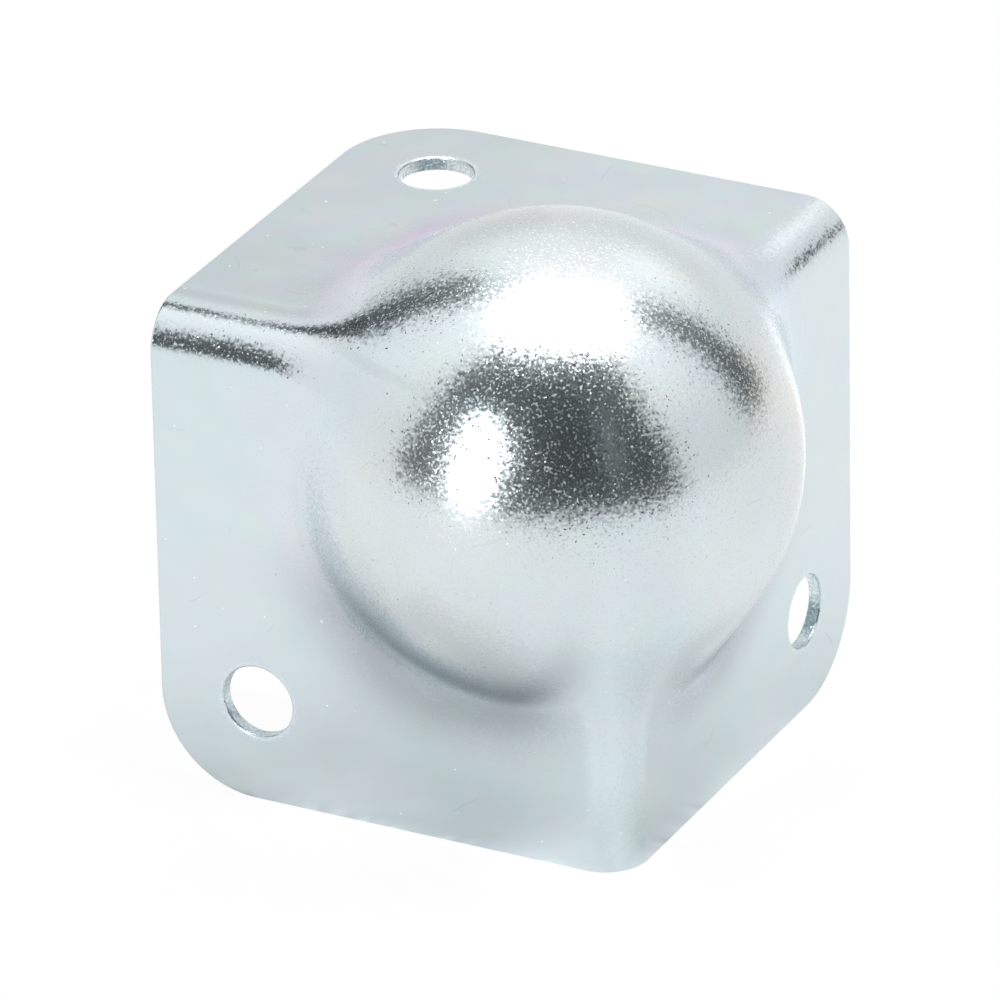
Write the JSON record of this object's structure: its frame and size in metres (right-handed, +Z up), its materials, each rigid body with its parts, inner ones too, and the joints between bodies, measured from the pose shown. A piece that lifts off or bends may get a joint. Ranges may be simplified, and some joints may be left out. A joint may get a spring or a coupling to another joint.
{
  "type": "flight case corner",
  "caption": "One-piece pressed steel ball corner that caps and protects the corner of a flight case, riveted on through its flanges.",
  "frame": {"origin": "the corner of the case that the part covers, which is where the inside faces of the three flanges would meet", "axes": "+Z up, out of the top flange; +X out of the right flange; -Y out of the front flange; the case lies at x <= 0, y >= 0, z <= 0"},
  "size_m": [0.043, 0.043, 0.043],
  "materials": {
    "zinc_plated_steel": "bright zinc plating with a pale blue passivate: satin on the flanges, orange-peel gloss on the ball and folds, faint lilac and straw tints round the foot of the ball"
  },
  "bodies": {
    "root": {"ball_corner": "zinc_plated_steel"}
  },
  "joints": []
}
